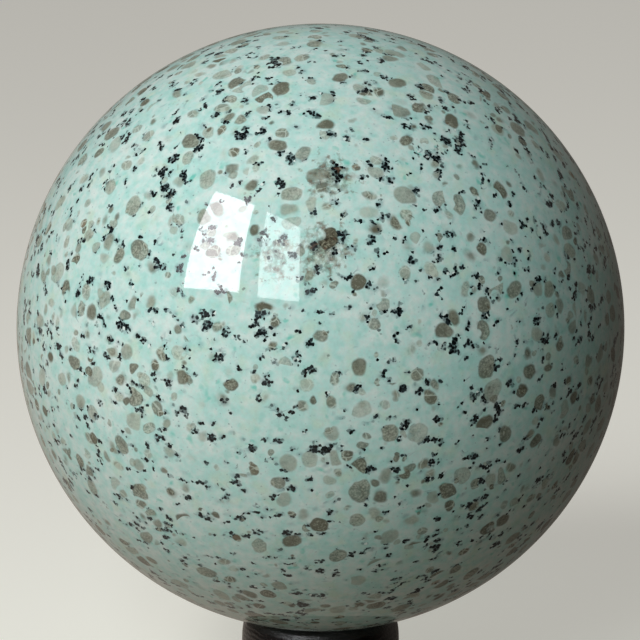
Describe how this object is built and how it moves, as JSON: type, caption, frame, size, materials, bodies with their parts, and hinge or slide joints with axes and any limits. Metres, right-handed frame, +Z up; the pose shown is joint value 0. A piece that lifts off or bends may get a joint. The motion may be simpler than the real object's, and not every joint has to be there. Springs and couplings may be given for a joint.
{
  "type": "decorative stone sphere on a ring stand",
  "caption": "Polished speckled stone ball resting in a small turned dark wood ring stand, for display on a shelf or table.",
  "frame": {"origin": "centre of the ring stand's underside, on the surface it stands on, straight under the ball's centre", "axes": "+Z up along the axis that the ball and the ring are round about; +X to the right and +Y away from the front view"},
  "size_m": [0.15, 0.15, 0.1663],
  "materials": {
    "stone": "pale mint feldspar with grey quartz grains and black flecks, polished to a mirror",
    "wood": "turned, stained near black, clear lacquer"
  },
  "bodies": {
    "root": {"stone_ball": "stone", "ring_stand": "wood"}
  },
  "joints": []
}
